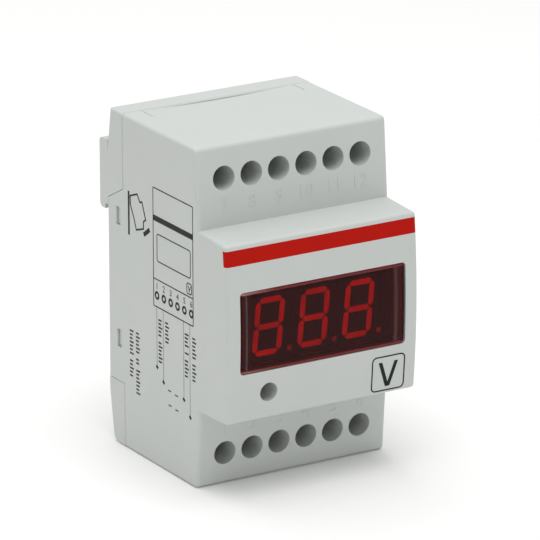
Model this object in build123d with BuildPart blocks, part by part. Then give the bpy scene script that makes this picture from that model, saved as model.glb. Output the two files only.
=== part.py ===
from build123d import *
import os
from math import radians, tan

# Rail-mounted digital voltmeter, three modules wide. All sizes are in millimetres.
# X runs to the right, Y to the rear and Z up. The origin lies on the rail plane, on the rail's centre line.
# A depth is a distance ahead of the rail plane, so a depth of d lies at Y = -d.

# Case, as wide as its row of terminals
terminals = 6
terminal_pitch = 7.5
row_margin = 3.75
case_top = 42.15
case_bottom = 42.1
wall = 1.8
nose_front = 54.85
nose_bow = 1.2
nose_root_height = 45.1
nose_face_height = 44.0
shoulder_front = 42.75
shoulder_lean = 1.55
nose_edge_radius = 0.9
end_edge_radius = 1.2
side_edge_radius = 0.9

# Seam between the cover and the base, whose two ears close the case's rear corners
seam_depth = 7.4
seam_gap = 0.15
ear_bevel = 0.35
ear_edge_radius = 0.6
upper_ear_root = 19.5
upper_ear_angle = 27.6
lower_ear_root = 25.8
upper_ear_taper = 1.3
lower_ear_taper = 1.6
lower_taper_start = 32.0
lower_ear_radius = 2.5
base_wall = 2.4
skirt_fit = 0.15

# Rail, hook and clip
rail_width = 35.0
rail_thickness = 1.0
rail_play = 0.35
hook_reach = 3.9
hook_bite = 1.2
hook_top = 33.8
hook_radius = 1.2
hook_relief = 0.3
clip_width = 16.6
clip_flange = 1.1
clip_thickness = 1.9
clip_flange_thickness = 1.05
clip_fit = 0.2
channel_wall = 1.4
boss_overlap = 0.3
clip_top = 14.0
clip_end_gap = 0.15
clip_lip_root = 6.3
clip_lip_bevel = 1.2
release_slot_width = 6.0
release_slot_height = 1.6
release_slot_from_end = 2.4

# Clip spring, a bent wire between a post of the base and the top of the clip's window
spring_wire = 0.7
spring_runs = 6
spring_width = 6.8
spring_length = 9.1
spring_room = 8.4
spring_fit = 0.1
spring_post_width = 6.0
spring_post_height = 1.6
spring_post_z = -34.0

# Screw access holes in the shoulders, with a moulded guide bar behind each row
hole_from_end = 8.0
hole_radius = 2.95
guide_wall = 1.0
guide_gap = 0.3

# Wire slots in the end walls, beside the seam
slot_depth = 5.4
wire_slot_width = 5.2
blank_length = 42.4
blank_fit = 0.15
blank_sink = 0.55
blank_lip = 1.2
blank_lip_thickness = 1.0

# Window, stripe and adjuster hole on the nose
window_margin = 4.2
window_height = 20.3
window_z = 0.2
window_radius = 1.0
window_fit = 0.12
lens_thickness = 1.2
lens_lip = 0.9
lens_lip_thickness = 1.2
lens_rim_side = 2.15
lens_rim_end = 1.75
lens_bevel = 0.5
band_height = 3.8
band_below_edge = 1.2
band_thickness = 0.25
adjuster_x = -14.8
adjuster_from_root = 7.15
adjuster_radius = 2.35
adjuster_wall = 0.9
adjuster_gap = 0.6

# Latches that hold the cover on the base
latch_zs = (16.1, -14.9)
latch_depth = 4.9
latch_length = 2.0
latch_height = 4.6
latch_fit = 0.15
latch_proud = 1.4
tongue_height = 6.0
tongue_thickness = 1.4
tongue_depth = 7.0

# Boards
board_thickness = 1.6
board_edge_gap = 0.4
main_board_depth = 5.0
peg_radius = 2.0
peg_pin_radius = 0.95
peg_hole_fit = 0.1
peg_pin_proud = 0.4
peg_x = 20.0
peg_zs = (36.0, -3.2, -24.0)
display_board_gap = 1.15
post_x = 20.8
post_from_edge = 3.6
post_radius = 2.4
post_pilot_radius = 1.1
post_pilot_depth = 7.0
riser_x = 16.0
riser_height = 28.0

# Digits
digits = 3
digit_pitch = 12.4
digit_width = 12.2
digit_height = 19.0
digit_thickness = 8.0
digit_group_z = -0.3
digit_setback = 4.05
figure_height = 14.2
figure_width = 8.0
figure_slant = 5.7
figure_shift = -0.5
bar_thickness = 1.4
bar_gap = 0.2
bar_depth = 1.0
point_radius = 0.65
point_x = 5.7

# Trimmer behind the adjuster hole
trimmer_size = 6.6
trimmer_height = 4.4
rotor_radius = 1.8
rotor_height = 1.3
rotor_proud = 0.35
rotor_fit = 0.05
rotor_slot_width = 0.6
rotor_slot_depth = 0.5

# Display board screws
board_screw_radius = 1.0
board_screw_length = 6.0
board_screw_head_radius = 2.0
board_screw_head = 1.5
board_screw_slot = 0.5

# Lower terminals
block_height = 12.8
block_end_gap = 0.45
block_inner_wall = 1.5
block_floor = 0.8
block_side_wall = 1.2
cage_width = 5.6
cage_height = 7.0
cage_length = 6.0
cage_wall = 0.7
cage_floor = 0.8
cage_roof = 1.4
cage_fit = 0.25
cage_floor_gap = 0.2
cage_travel = 2.5
screw_radius = 1.5
screw_thread_fit = 0.05
screw_head_radius = 2.1
screw_head_height = 1.6
screw_head_fit = 0.2
screw_slot_width = 0.8
screw_slot_depth = 0.9
screw_tip_gap = 0.1
tongue_strip_width = 3.6
tongue_strip = 0.8
tongue_strip_gap = 0.2
tail_width = 1.0
tail_hole_radius = 0.8
tail_proud = 1.0

# Parts of the supply and of the input
transformer_width = 32.0
transformer_length = 27.0
transformer_height = 22.0
transformer_x = -6.4
transformer_z = 12.5
transformer_radius = 1.0
core_height = 8.0
core_margin = 2.5
capacitor_places = ((-16.5, -10.0), (-6.0, -10.0))
capacitor_radius = 4.5
capacitor_height = 14.0
capacitor_groove = 0.4
rectifier_x = 14.0
rectifier_z = -22.0
rectifier_width = 8.4
rectifier_length = 6.4
rectifier_height = 3.4
regulator_x = 7.0
regulator_z = -10.0
regulator_width = 10.0
regulator_thickness = 4.4
regulator_height = 9.0
regulator_tab = 6.0
regulator_tab_thickness = 1.3
regulator_hole_radius = 1.8
fuse_x = -6.5
fuse_z = -21.5
fuse_radius = 4.2
fuse_height = 8.0
varistor_x = 4.5
varistor_z = -21.5
varistor_radius = 4.5
varistor_thickness = 3.8
resistor_x = -15.0
resistor_zs = (-18.5, -22.0, -25.5)
resistor_radius = 1.2
resistor_length = 6.4
chip_size = 10.0
chip_height = 2.0
chip_leads = 8
chip_lead_pitch = 0.8
chip_lead_width = 0.35
chip_lead_reach = 1.0
chip_lead_thickness = 0.2
chip_bevel = 0.4

# Derived places
width = terminals * terminal_pitch + 2 * row_margin
side = width / 2
inner_side = side - wall
end_front = shoulder_front - shoulder_lean
ear_slope = tan(radians(upper_ear_angle))
ear_front = seam_depth - seam_gap
hook_bottom = rail_width / 2 - hook_bite
hook_seat = rail_width / 2 + skirt_fit
rail_slot = rail_thickness + rail_play
base_side = inner_side - skirt_fit
columns = [terminal_pitch * (i - (terminals - 1) / 2) for i in range(terminals)]
upper_hole_z = case_top - hole_from_end
lower_hole_z = hole_from_end - case_bottom
board_side = inner_side - board_edge_gap
main_board_front = main_board_depth + board_thickness
main_board_top = case_top - wall - board_edge_gap
main_board_bottom = case_bottom - wall - board_edge_gap
face_depth = nose_front + nose_bow
digit_face = face_depth - digit_setback
display_board_front = digit_face - digit_thickness
display_board_rear = display_board_front - board_thickness
digit_xs = [digit_pitch * (i - (digits - 1) / 2) for i in range(digits)]
window_width = digits * digit_pitch + 2 * window_margin
lip_rear = face_depth - wall - lens_lip_thickness
display_board_height = nose_root_height - 2 * (wall + display_board_gap)
post_z = display_board_height / 2 - post_from_edge
adjuster_z = adjuster_from_root - nose_root_height / 2
block_front = main_board_front + block_height
guide_end = block_front + guide_gap
guide_side = columns[-1] + hole_radius + guide_wall
cage_rear = main_board_front + block_floor + cage_floor_gap
cage_front = cage_rear + cage_height
chamber_width = cage_width + 2 * cage_fit
chamber_length = cage_length + 2 * cage_fit
chamber_front = cage_front + cage_travel + cage_fit
strip_front = cage_front - cage_roof - tongue_strip_gap
head_rear = chamber_front + tongue_strip_gap
block_bottom = wall + block_end_gap - case_bottom
block_top = lower_hole_z + chamber_length / 2 + block_inner_wall
block_side = columns[-1] + chamber_width / 2 + block_side_wall
channel_depth = clip_thickness + clip_fit + clip_end_gap
channel_top = clip_fit - clip_top
clip_side = clip_width / 2
clip_end = clip_end_gap - case_bottom
trimmer_front = display_board_front + trimmer_height


def case_lines(rear):
    """The case's side outline in (Y, Z), drawn in the open line builder, with the bowed face of the nose."""
    nose_edge = nose_face_height / 2
    Polyline(
        (-nose_front, -nose_edge),
        (-shoulder_front, -nose_root_height / 2),
        (-end_front, -case_bottom),
        (rear, -case_bottom),
        (rear, case_top),
        (-end_front, case_top),
        (-shoulder_front, nose_root_height / 2),
        (-nose_front, nose_edge),
    )
    ThreePointArc((-nose_front, nose_edge), (-face_depth, 0), (-nose_front, -nose_edge))


def side_outline(points):
    """A closed straight-edged outline in the YZ plane, to be extruded to both sides."""
    with BuildSketch(Plane.YZ) as outline:
        with BuildLine():
            Polyline(*points, close=True)
        make_face()
    return outline.sketch


def write(builder, name):
    """Label a finished piece and write its STEP file."""
    builder.part.label = name
    export_step(builder.part, f"parts/{name}.step")


os.makedirs("parts", exist_ok=True)

# Outer form of the case, and the room inside its walls
with BuildPart() as case_form:
    with BuildSketch(Plane.YZ) as form_outline:
        with BuildLine():
            case_lines(-skirt_fit)
        make_face()
        fillet(form_outline.vertices().group_by(Axis.X)[2], end_edge_radius)
        fillet(form_outline.vertices().group_by(Axis.X)[0], nose_edge_radius)
    extrude(amount=side, both=True)
    side_faces = case_form.faces().filter_by(Axis.X)
    fillet(side_faces.edges().filter_by(lambda e: e.center().Y < -2 * skirt_fit), side_edge_radius)

with BuildPart() as case_room:
    with BuildSketch(Plane.YZ):
        with BuildLine():
            case_lines(2 * wall)
        make_face()
        offset(amount=-wall, kind=Kind.INTERSECTION, mode=Mode.REPLACE)
    extrude(amount=inner_side, both=True)

# Stripe: a thin skin of the outer form's bowed face, cut to its height
with BuildPart() as red_band:
    add(case_form.part)
    add(Pos(0, band_thickness, 0) * case_form.part, mode=Mode.SUBTRACT)
    with Locations((0, -nose_front, nose_face_height / 2 - band_below_edge - band_height / 2)):
        Box(2 * width, 4 * nose_bow, band_height, mode=Mode.INTERSECT)
write(red_band, "red_band")

# Front cover: one moulded shell with the nose, the shoulders and the screw guides
with BuildPart() as front_cover:
    add(case_form.part)
    add(case_room.part, mode=Mode.SUBTRACT)
    # Rear corners, left to the ears of the base
    upper_corner = [
        (-seam_depth, case_top + wall),
        (-seam_depth, upper_ear_root + seam_depth * ear_slope),
        (wall, upper_ear_root - wall * ear_slope),
        (wall, case_top + wall),
    ]
    extrude(side_outline(upper_corner), amount=width, both=True, mode=Mode.SUBTRACT)
    lower_corner = [
        (-seam_depth, -case_bottom - wall),
        (-seam_depth, -lower_ear_root),
        (wall, -lower_ear_root),
        (wall, -case_bottom - wall),
    ]
    extrude(side_outline(lower_corner), amount=width, both=True, mode=Mode.SUBTRACT)
    # Screw guides: a bar behind each row, then its bores
    hole_places = [(x, z) for z in (upper_hole_z, lower_hole_z) for x in columns]
    with BuildSketch(Plane.XZ.offset(guide_end)):
        with Locations((0, upper_hole_z), (0, lower_hole_z)):
            Rectangle(2 * guide_side, 2 * (hole_radius + guide_wall))
    extrude(amount=end_front - wall / 2 - guide_end)
    with BuildSketch(Plane.XZ.offset(guide_end - wall)):
        with Locations(*hole_places):
            Circle(hole_radius)
    extrude(amount=shoulder_front - guide_end + 2 * wall, mode=Mode.SUBTRACT)
    # Posts for the display board, with pilot holes
    with BuildSketch(Plane.XZ.offset(display_board_front)):
        with GridLocations(2 * post_x, 2 * post_z, 2, 2):
            Circle(post_radius)
    extrude(amount=nose_front - wall / 2 - display_board_front)
    with BuildSketch(Plane.XZ.offset(display_board_front)):
        with GridLocations(2 * post_x, 2 * post_z, 2, 2):
            Circle(post_pilot_radius)
    extrude(amount=post_pilot_depth, mode=Mode.SUBTRACT)
    # Adjuster tube and its hole
    adjuster_end = trimmer_front + rotor_proud + adjuster_gap
    with BuildSketch(Plane.XZ.offset(adjuster_end)):
        with Locations((adjuster_x, adjuster_z)):
            Circle(adjuster_radius + adjuster_wall)
    extrude(amount=nose_front - wall / 2 - adjuster_end)
    with BuildSketch(Plane.XZ.offset(adjuster_end - wall)):
        with Locations((adjuster_x, adjuster_z)):
            Circle(adjuster_radius)
    extrude(amount=nose_front - adjuster_end + 2 * wall, mode=Mode.SUBTRACT)
    # Window opening
    with BuildSketch(Plane.XZ.offset(nose_front - 2 * wall)):
        with Locations((0, window_z)):
            RectangleRounded(window_width, window_height, window_radius)
    extrude(amount=3 * wall, mode=Mode.SUBTRACT)
    # Shallow bed of the stripe
    add(red_band.part, mode=Mode.SUBTRACT)
    # Wire slots, open to the seam: one wide slot above, a comb below
    with Locations((0, -seam_depth - slot_depth / 2, case_top)):
        Box(blank_length, slot_depth, 4 * wall, mode=Mode.SUBTRACT)
    with Locations(*[(x, -seam_depth - slot_depth / 2, -case_bottom) for x in columns]):
        Box(wire_slot_width, slot_depth, 4 * wall, mode=Mode.SUBTRACT)
    # Latch windows in the skirts
    with Locations(*[(s * (side - wall / 2), -latch_depth, z) for s in (-1, 1) for z in latch_zs]):
        Box(2 * wall, latch_length, latch_height, mode=Mode.SUBTRACT)
write(front_cover, "front_cover")

# Window lens: a plate flush with the bowed face, a lip behind the wall and a pocket in its back
with BuildPart() as lens_lip_form:
    with BuildSketch(Plane.XZ.offset(lip_rear)):
        with Locations((0, window_z)):
            RectangleRounded(window_width + 2 * lens_lip, window_height + 2 * lens_lip, window_radius)
    extrude(amount=2 * lens_lip_thickness)
    add(case_room.part, mode=Mode.INTERSECT)

with BuildPart() as display_window:
    with BuildSketch(Plane.XZ.offset(lip_rear)):
        with Locations((0, window_z)):
            RectangleRounded(window_width - 2 * window_fit, window_height - 2 * window_fit, window_radius)
    extrude(amount=face_depth - lip_rear + nose_bow)
    add(case_form.part, mode=Mode.INTERSECT)
    chamfer(display_window.faces().sort_by(Axis.Y)[0].edges(), lens_bevel)
    add(lens_lip_form.part)
    with BuildSketch(Plane.XZ.offset(lip_rear)):
        with Locations((0, window_z)):
            Rectangle(window_width - 2 * lens_rim_side, window_height - 2 * lens_rim_end)
    extrude(amount=face_depth - lens_thickness - lip_rear, mode=Mode.SUBTRACT)
write(display_window, "display_window")

# Strip that closes the upper wire slot from inside, its upper face hollowed towards the middle
with BuildPart() as upper_blank:
    blank_side = blank_length / 2 - blank_fit
    with BuildSketch(Plane.XZ.offset(seam_depth)):
        with BuildLine():
            Polyline(
                (blank_side, case_top),
                (blank_side, case_top - wall),
                (-blank_side, case_top - wall),
                (-blank_side, case_top),
            )
            ThreePointArc((-blank_side, case_top), (0, case_top - blank_sink), (blank_side, case_top))
        make_face()
    extrude(amount=slot_depth - blank_fit)
    lip_middle = -seam_depth - (slot_depth + blank_lip) / 2
    with Locations((0, lip_middle, case_top - wall - blank_lip_thickness / 2)):
        Box(blank_length + 2 * blank_lip, slot_depth + blank_lip, blank_lip_thickness)
write(upper_blank, "upper_blank")

# Rear base: back wall, two ears, rail hook, clip channel, latches and board pegs
with BuildPart() as rear_base:
    ear_root = upper_ear_root + seam_gap
    upper_ear = [
        (-ear_front, case_top),
        (-upper_ear_taper, case_top),
        (0, hook_top),
        (0, ear_root),
        (-ear_front, ear_root + ear_front * ear_slope),
    ]
    extrude(side_outline(upper_ear), amount=side, both=True)
    with BuildSketch(Plane.YZ) as lower_ear:
        with BuildLine():
            Polyline(
                (-ear_front, -case_bottom),
                (-lower_ear_taper, -case_bottom),
                (0, -lower_taper_start),
                (0, -lower_ear_root - seam_gap),
                (-ear_front, -lower_ear_root - seam_gap),
                close=True,
            )
        make_face()
        fillet(lower_ear.vertices().group_by(Axis.Y)[0].sort_by(Axis.X)[-1], lower_ear_radius)
    extrude(amount=side, both=True)
    # Rounded outer edges, and a bevel along the seam
    side_rims = rear_base.faces().filter_by(Axis.X).edges()
    ear_rims = side_rims.filter_by(lambda e: e.center().Y > ear_bevel - ear_front)
    fillet(ear_rims.filter_by(lambda e: not -lower_taper_start < e.center().Z < hook_top), ear_edge_radius)
    seam_rims = rear_base.faces().filter_by(Axis.Y).group_by(Axis.Y)[0].edges()
    seam_top = ear_root + ear_front * ear_slope + wall
    chamfer(seam_rims.filter_by(lambda e: not -lower_ear_root - wall < e.center().Z < seam_top), ear_bevel)
    inside = [
        (-2 * seam_depth, wall - case_bottom),
        (-base_wall, wall - case_bottom),
        (-base_wall, case_top - wall),
        (-2 * seam_depth, case_top - wall),
    ]
    extrude(side_outline(inside), amount=inner_side, both=True, mode=Mode.SUBTRACT)
    back_top = ear_root + wall
    back_bottom = -lower_ear_root - wall
    with Locations((0, -base_wall / 2, (back_top + back_bottom) / 2)):
        Box(2 * base_side, base_wall, back_top - back_bottom)
    # Hook over the rail's upper edge, cored from inside
    with BuildSketch(Plane.YZ) as hook:
        with BuildLine():
            Polyline(
                (0, hook_seat),
                (rail_slot, hook_seat),
                (rail_slot, hook_bottom),
                (hook_reach, hook_bottom),
                (hook_reach, hook_top),
                (0, hook_top),
                close=True,
            )
        make_face()
        fillet(hook.vertices().group_by(Axis.X)[-1], hook_radius)
    extrude(amount=side, both=True)
    core_bottom = hook_seat + wall
    core_top = hook_top - wall
    core_depth = hook_reach - wall + base_wall
    with Locations((0, core_depth / 2 - base_wall, (core_bottom + core_top) / 2)):
        Box(2 * (base_side - wall), core_depth, core_top - core_bottom, mode=Mode.SUBTRACT)
    relief_bottom = hook_bottom - rail_play
    with Locations((0, 0, (relief_bottom + hook_seat) / 2)):
        Box(2 * base_side, 2 * hook_relief, hook_seat - relief_bottom, mode=Mode.SUBTRACT)
    # Channel of the clip, undercut so that the clip stays in
    channel_side = clip_side + clip_flange + clip_fit
    boss_depth = channel_depth + channel_wall
    boss_top = channel_top + channel_wall
    boss_rear = base_wall - boss_overlap
    boss_bottom = wall / 2 - case_bottom
    with Locations((0, -(boss_depth + boss_rear) / 2, (boss_top + boss_bottom) / 2)):
        Box(2 * (channel_side + channel_wall), boss_depth - boss_rear, boss_top - boss_bottom)
    neck_depth = channel_depth - clip_flange_thickness - 2 * clip_fit
    with BuildSketch(Plane.XY.offset(channel_top)):
        with Locations((0, -(channel_depth + neck_depth) / 2)):
            Rectangle(2 * channel_side, channel_depth - neck_depth)
        with Locations((0, -(neck_depth - wall) / 2)):
            Rectangle(2 * (clip_side + clip_fit), neck_depth + wall)
    extrude(amount=-(channel_top + case_bottom), mode=Mode.SUBTRACT)
    post_height = channel_depth - 2 * clip_fit
    with Locations((0, -channel_depth + post_height / 2, spring_post_z)):
        Box(spring_post_width, post_height, spring_post_height)
    # Latch tongues inside the skirts
    for s in (-1, 1):
        for z in latch_zs:
            with Locations((s * (base_side - tongue_thickness / 2), -(base_wall + tongue_depth) / 2, z)):
                Box(tongue_thickness, tongue_depth - base_wall, tongue_height)
            with Locations((s * (base_side + latch_proud / 2), -latch_depth, z)):
                Box(latch_proud, latch_length - 2 * latch_fit, latch_height - 2 * latch_fit)
    # Board pegs with pins
    peg_places = [(s * peg_x, z) for s in (-1, 1) for z in peg_zs]
    with BuildSketch(Plane.XZ.offset(base_wall / 2)):
        with Locations(*peg_places):
            Circle(peg_radius)
    extrude(amount=main_board_depth - base_wall / 2)
    with BuildSketch(Plane.XZ.offset(main_board_depth)):
        with Locations(*peg_places):
            Circle(peg_pin_radius)
    extrude(amount=board_thickness + peg_pin_proud)
write(rear_base, "rear_base")

# Rail clip: flanged slider with a gripping lip, a spring window and a slot for a screwdriver
with BuildPart() as rail_clip:
    clip_rear = clip_end_gap
    clip_front = clip_rear + clip_thickness
    flange_rear = clip_front - clip_flange_thickness
    with BuildSketch(Plane.XY.offset(clip_end)):
        with Locations((0, -(clip_front + flange_rear) / 2)):
            Rectangle(2 * (clip_side + clip_flange), clip_flange_thickness)
        with Locations((0, -(clip_rear + flange_rear) / 2)):
            Rectangle(2 * clip_side, flange_rear - clip_rear)
    extrude(amount=-clip_top - clip_end)
    lip_top = -hook_bottom
    lip_seat = -hook_seat
    lip = [
        (-clip_rear, lip_seat - clip_lip_root),
        (hook_reach, lip_seat - clip_lip_root + hook_reach),
        (hook_reach, lip_top - clip_lip_bevel),
        (hook_reach - clip_lip_bevel, lip_top),
        (rail_slot, lip_top),
        (rail_slot, lip_seat),
        (-clip_rear, lip_seat),
    ]
    extrude(side_outline(lip), amount=clip_side, both=True)
    window_floor = spring_post_z - spring_post_height / 2 - clip_fit
    window_roof = spring_post_z + spring_post_height / 2 + spring_length + 2 * spring_fit
    with Locations((0, -clip_front / 2, (window_floor + window_roof) / 2)):
        Box(spring_room, 2 * clip_front, window_roof - window_floor, mode=Mode.SUBTRACT)
    with Locations((0, -clip_front / 2, clip_end + release_slot_from_end)):
        Box(release_slot_width, 2 * clip_front, release_slot_height, mode=Mode.SUBTRACT)
write(rail_clip, "rail_clip")

# Clip spring: one wire bent to and fro, with half-round turns
with BuildPart() as clip_spring:
    run_pitch = (spring_length - spring_wire) / (spring_runs - 1)
    run_half = (spring_width - spring_wire - run_pitch) / 2
    run_start = spring_post_z + spring_post_height / 2 + spring_fit + spring_wire / 2
    with BuildLine(Plane.XZ.offset((clip_rear + clip_front) / 2)) as wire:
        for i in range(spring_runs):
            run_z = run_start + i * run_pitch
            turn = 1 if i % 2 == 0 else -1
            Line((-turn * run_half, run_z), (turn * run_half, run_z))
            if i < spring_runs - 1:
                bend = (turn * (run_half + run_pitch / 2), run_z + run_pitch / 2)
                ThreePointArc((turn * run_half, run_z), bend, (turn * run_half, run_z + run_pitch))
    with BuildSketch(Plane(origin=wire.line @ 0, z_dir=wire.line % 0)):
        Circle(spring_wire / 2)
    sweep(path=wire.line)
write(clip_spring, "clip_spring")

# Main board, notched for the latches and drilled for the pegs and the terminal tails
strip_z = block_top - tongue_strip / 2
with BuildPart() as main_board:
    with BuildSketch(Plane.XZ.offset(main_board_depth)):
        with Locations((0, (main_board_top - main_board_bottom) / 2)):
            Rectangle(2 * board_side, main_board_top + main_board_bottom)
        notch = tongue_thickness + 2 * skirt_fit
        with Locations(*[(s * (base_side - tongue_thickness / 2), z) for s in (-1, 1) for z in latch_zs]):
            Rectangle(2 * notch, tongue_height + 2 * board_edge_gap, mode=Mode.SUBTRACT)
        with Locations(*peg_places):
            Circle(peg_pin_radius + peg_hole_fit, mode=Mode.SUBTRACT)
        with Locations(*[(x, strip_z) for x in columns]):
            Circle(tail_hole_radius, mode=Mode.SUBTRACT)
    extrude(amount=board_thickness)
write(main_board, "main_board")

# Display board, on the cover's posts
with BuildPart() as display_board:
    with BuildSketch(Plane.XZ.offset(display_board_rear)):
        Rectangle(2 * board_side, display_board_height)
        with GridLocations(2 * post_x, 2 * post_z, 2, 2):
            Circle(board_screw_radius + peg_hole_fit, mode=Mode.SUBTRACT)
    extrude(amount=board_thickness)
write(display_board, "display_board")

# Riser board, which joins the two and stands on edge between them
with BuildPart() as riser_board:
    riser_depth = display_board_rear - main_board_front
    with Locations((riser_x, -(display_board_rear + main_board_front) / 2, 0)):
        Box(board_thickness, riser_depth, riser_height)
write(riser_board, "riser_board")

# Screws of the display board
with BuildPart() as display_screws:
    with BuildSketch(Plane.XZ.offset(display_board_rear)):
        with GridLocations(2 * post_x, 2 * post_z, 2, 2):
            Circle(board_screw_radius)
    extrude(amount=board_thickness + board_screw_length)
    with BuildSketch(Plane.XZ.offset(display_board_rear - board_screw_head)):
        with GridLocations(2 * post_x, 2 * post_z, 2, 2):
            Circle(board_screw_head_radius)
    extrude(amount=board_screw_head)
    with BuildSketch(Plane.XZ.offset(display_board_rear - board_screw_head)):
        with GridLocations(2 * post_x, 2 * post_z, 2, 2):
            Rectangle(2 * board_screw_head_radius, board_screw_slot)
    extrude(amount=board_screw_slot, mode=Mode.SUBTRACT)
write(display_screws, "display_screws")


def bar(x, z, length, upright):
    """One bar of the figure: a bevel-ended strip, sheared by the figure's slant."""
    half = length / 2 - bar_gap
    flank = bar_thickness / 2
    run = [(-half, 0), (flank - half, flank), (half - flank, flank)]
    run += [(half, 0), (half - flank, -flank), (flank - half, -flank)]
    if upright:
        run = [(v, u) for u, v in run]
    lean = tan(radians(figure_slant))
    return [(x + u + (z + v) * lean, z + v) for u, v in run]


figure_rise = (figure_height - bar_thickness) / 2
figure_run = figure_width - bar_thickness
figure_bars = [bar(0, z, figure_run, False) for z in (-figure_rise, 0, figure_rise)]
for bar_x in (-figure_run / 2, figure_run / 2):
    for bar_z in (-figure_rise / 2, figure_rise / 2):
        figure_bars.append(bar(bar_x, bar_z, figure_rise, True))


def figure_sketch(x):
    """The seven bars and the point of the digit at x, on the digit's face."""
    with BuildSketch(Plane.XZ.offset(digit_face)) as figure:
        with Locations((x + figure_shift, digit_group_z)):
            for outline in figure_bars:
                Polygon(*outline, align=None)
            with Locations((point_x, -figure_rise)):
                Circle(point_radius)
    return figure.sketch


# Digits: reflector blocks, each with its light pipes potted flush in its face
for number, digit_x in enumerate(digit_xs, 1):
    with BuildPart() as digit:
        with Locations((digit_x, -digit_face + digit_thickness / 2, digit_group_z)):
            Box(digit_width, digit_thickness, digit_height)
        extrude(figure_sketch(digit_x), amount=-bar_depth, mode=Mode.SUBTRACT)
    write(digit, f"digit_{number}")
    with BuildPart() as digit_segments:
        extrude(figure_sketch(digit_x), amount=-bar_depth)
    write(digit_segments, f"digit_{number}_segments")

# Trimmer: square body with a round seat, and the slotted rotor that turns in it
rotor_rear = trimmer_front + rotor_proud - rotor_height
with BuildPart() as trimmer_body:
    with BuildSketch(Plane.XZ.offset(display_board_front)):
        with Locations((adjuster_x, adjuster_z)):
            Rectangle(trimmer_size, trimmer_size)
    extrude(amount=trimmer_height)
    with BuildSketch(Plane.XZ.offset(rotor_rear - rotor_fit)):
        with Locations((adjuster_x, adjuster_z)):
            Circle(rotor_radius + rotor_fit)
    extrude(amount=rotor_height, mode=Mode.SUBTRACT)
write(trimmer_body, "trimmer_body")

with BuildPart() as trimmer_rotor:
    with BuildSketch(Plane.XZ.offset(rotor_rear)):
        with Locations((adjuster_x, adjuster_z)):
            Circle(rotor_radius)
    extrude(amount=rotor_height)
    with BuildSketch(Plane.XZ.offset(rotor_rear + rotor_height - rotor_slot_depth)):
        with Locations((adjuster_x, adjuster_z)):
            Rectangle(2 * rotor_radius, rotor_slot_width)
    extrude(amount=rotor_slot_depth, mode=Mode.SUBTRACT)
write(trimmer_rotor, "trimmer_rotor")

# Terminal block: a bar with a chamber for each cage, a screw bore in front and a wire mouth below
with BuildPart() as terminal_block:
    with BuildSketch(Plane.XZ.offset(main_board_front)):
        with Locations((0, (block_top + block_bottom) / 2)):
            Rectangle(2 * block_side, block_top - block_bottom)
    extrude(amount=block_height)
    chamber_rear = main_board_front + block_floor
    with BuildSketch(Plane.XZ.offset(chamber_rear)):
        with Locations(*[(x, lower_hole_z) for x in columns]):
            Rectangle(chamber_width, chamber_length)
    extrude(amount=chamber_front - chamber_rear, mode=Mode.SUBTRACT)
    with BuildSketch(Plane.XZ.offset(chamber_front)):
        with Locations(*[(x, lower_hole_z) for x in columns]):
            Circle(screw_head_radius + screw_head_fit)
    extrude(amount=block_front - chamber_front, mode=Mode.SUBTRACT)
    mouth_front = seam_depth + slot_depth
    with Locations(*[(x, -(chamber_rear + mouth_front) / 2, block_bottom) for x in columns]):
        Box(wire_slot_width, mouth_front - chamber_rear, cage_length, mode=Mode.SUBTRACT)
    strip_slot_front = strip_front + tongue_strip_gap
    with Locations(*[(x, -(main_board_front + strip_slot_front) / 2, block_top) for x in columns]):
        strip_slot = tongue_strip_width + 2 * tongue_strip_gap
        Box(strip_slot, strip_slot_front - main_board_front, 2 * block_inner_wall, mode=Mode.SUBTRACT)
write(terminal_block, "terminal_block")

# Contact strips: bent brass, soldered to the board, reaching through the cages
with BuildPart() as terminal_tongues:
    strip_end = lower_hole_z - cage_length / 2
    strip_bend = [
        (-main_board_front, block_top),
        (-strip_front, block_top),
        (-strip_front, strip_end),
        (tongue_strip - strip_front, strip_end),
        (tongue_strip - strip_front, block_top - tongue_strip),
        (-main_board_front, block_top - tongue_strip),
    ]
    for x in columns:
        extrude(Pos(x, 0, 0) * side_outline(strip_bend), amount=tongue_strip_width / 2, both=True)
        tail_length = board_thickness + tail_proud
        with Locations((x, -main_board_front + tail_length / 2, strip_z)):
            Box(tail_width, tail_length, tongue_strip)
write(terminal_tongues, "terminal_tongues")

# Cages and screws, numbered from the left
for number, x in enumerate(columns, 1):
    with BuildPart() as terminal_cage:
        with Locations((x, -(cage_rear + cage_front) / 2, lower_hole_z)):
            Box(cage_width, cage_height, cage_length)
        eye_rear = cage_rear + cage_floor
        eye_front = cage_front - cage_roof
        with Locations((x, -(eye_rear + eye_front) / 2, lower_hole_z)):
            Box(cage_width - 2 * cage_wall, eye_front - eye_rear, 2 * cage_length, mode=Mode.SUBTRACT)
        with BuildSketch(Plane.XZ.offset(eye_front)):
            with Locations((x, lower_hole_z)):
                Circle(screw_radius + screw_thread_fit)
        extrude(amount=cage_roof, mode=Mode.SUBTRACT)
    write(terminal_cage, f"terminal_cage_{number}")
    with BuildPart() as terminal_screw:
        tip = strip_front + screw_tip_gap
        with BuildSketch(Plane.XZ.offset(tip)):
            with Locations((x, lower_hole_z)):
                Circle(screw_radius)
        extrude(amount=head_rear - tip)
        with BuildSketch(Plane.XZ.offset(head_rear)):
            with Locations((x, lower_hole_z)):
                Circle(screw_head_radius)
        extrude(amount=screw_head_height)
        with BuildSketch(Plane.XZ.offset(head_rear + screw_head_height - screw_slot_depth)):
            with Locations((x, lower_hole_z)):
                Rectangle(2 * screw_head_radius, screw_slot_width)
        extrude(amount=screw_slot_depth, mode=Mode.SUBTRACT)
    write(terminal_screw, f"terminal_screw_{number}")

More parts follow.
